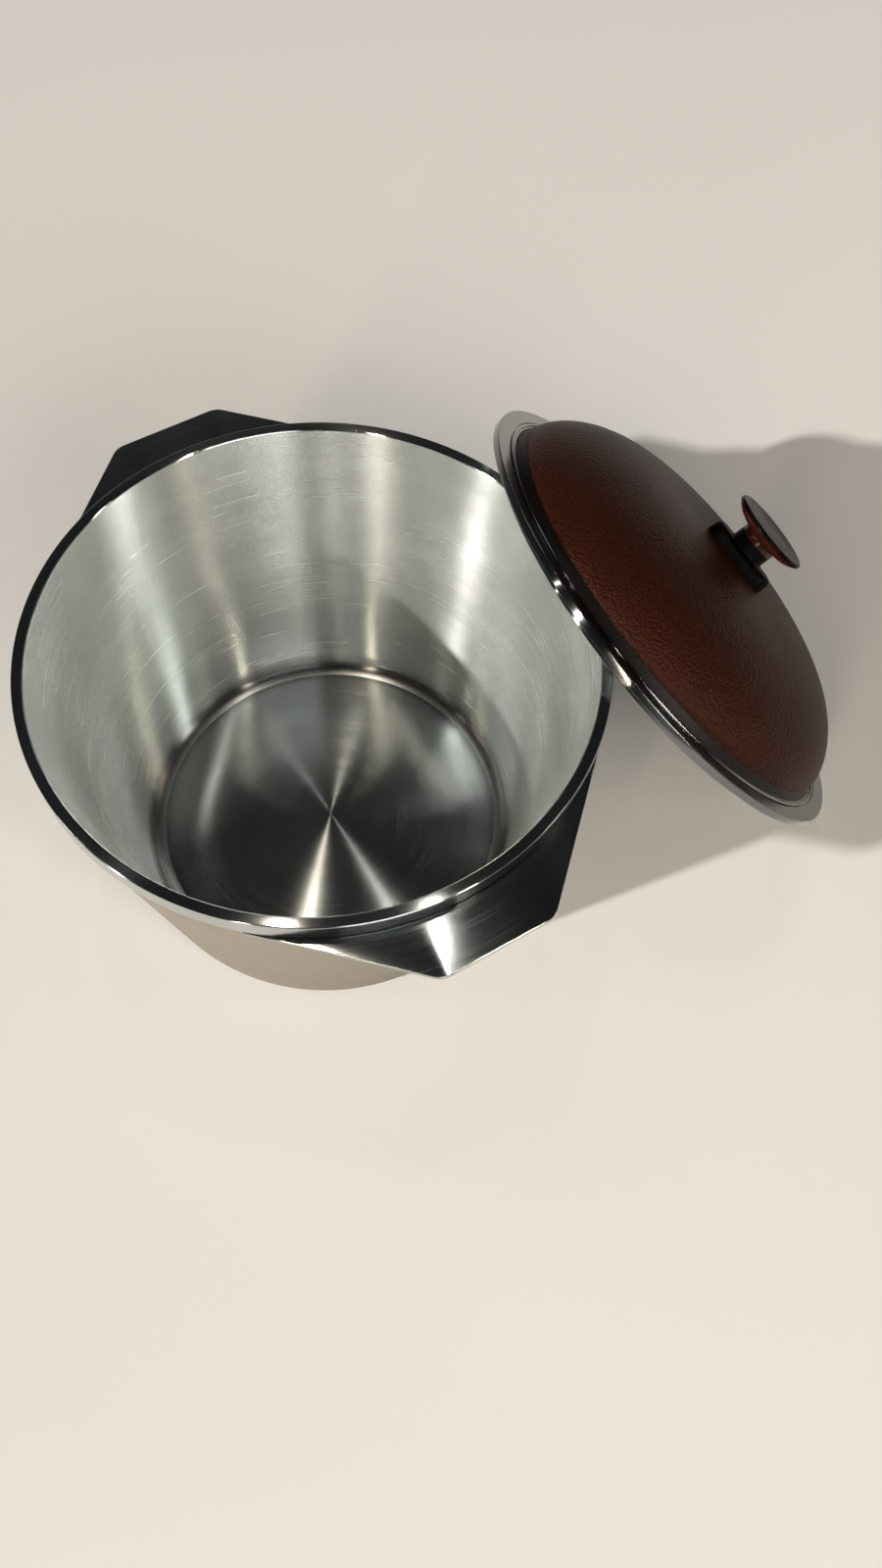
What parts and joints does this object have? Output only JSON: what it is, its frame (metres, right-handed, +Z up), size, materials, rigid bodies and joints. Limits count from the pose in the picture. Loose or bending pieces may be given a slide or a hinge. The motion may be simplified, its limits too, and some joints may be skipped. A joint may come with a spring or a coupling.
{
  "type": "cast aluminium casserole",
  "caption": "Deep round cast-aluminium cooking pot with flat wing handles and a machined rim, with its domed lid and flared knob leaning on the rim.",
  "frame": {"origin": "centre of the pot's flat base, on the surface that it stands on", "axes": "+Z up; the two wing handles lie along the X axis; the lid leans on the +Y side of the rim"},
  "size_m": [0.2972, 0.3869, 0.1865],
  "materials": {
    "pot_metal": "turned bright metal inside and on the rim and handle tops, pebbled grey-brown coating outside",
    "lid_coating": "dark red-brown pebbled coating on the dome, turned bright metal on the flange",
    "knob_black": "satin black moulding",
    "knob_brown": "glossy dark red-brown moulding with a black top",
    "brass": "turned",
    "steel": "bright fastener"
  },
  "bodies": {
    "pot": {"pot_casting": "pot_metal"},
    "lid": {"lid_casting": "lid_coating", "knob_base": "knob_black", "knob_grip": "knob_brown", "knob_insert": "brass", "lid_screw": "steel", "lid_washer": "steel", "lock_washer": "steel"}
  },
  "joints": [
    {"name": "lid_lift", "type": "slide", "parent": "pot", "child": "lid", "axis": [0, 0, 1], "range_m": [0, 0.2]}
  ]
}
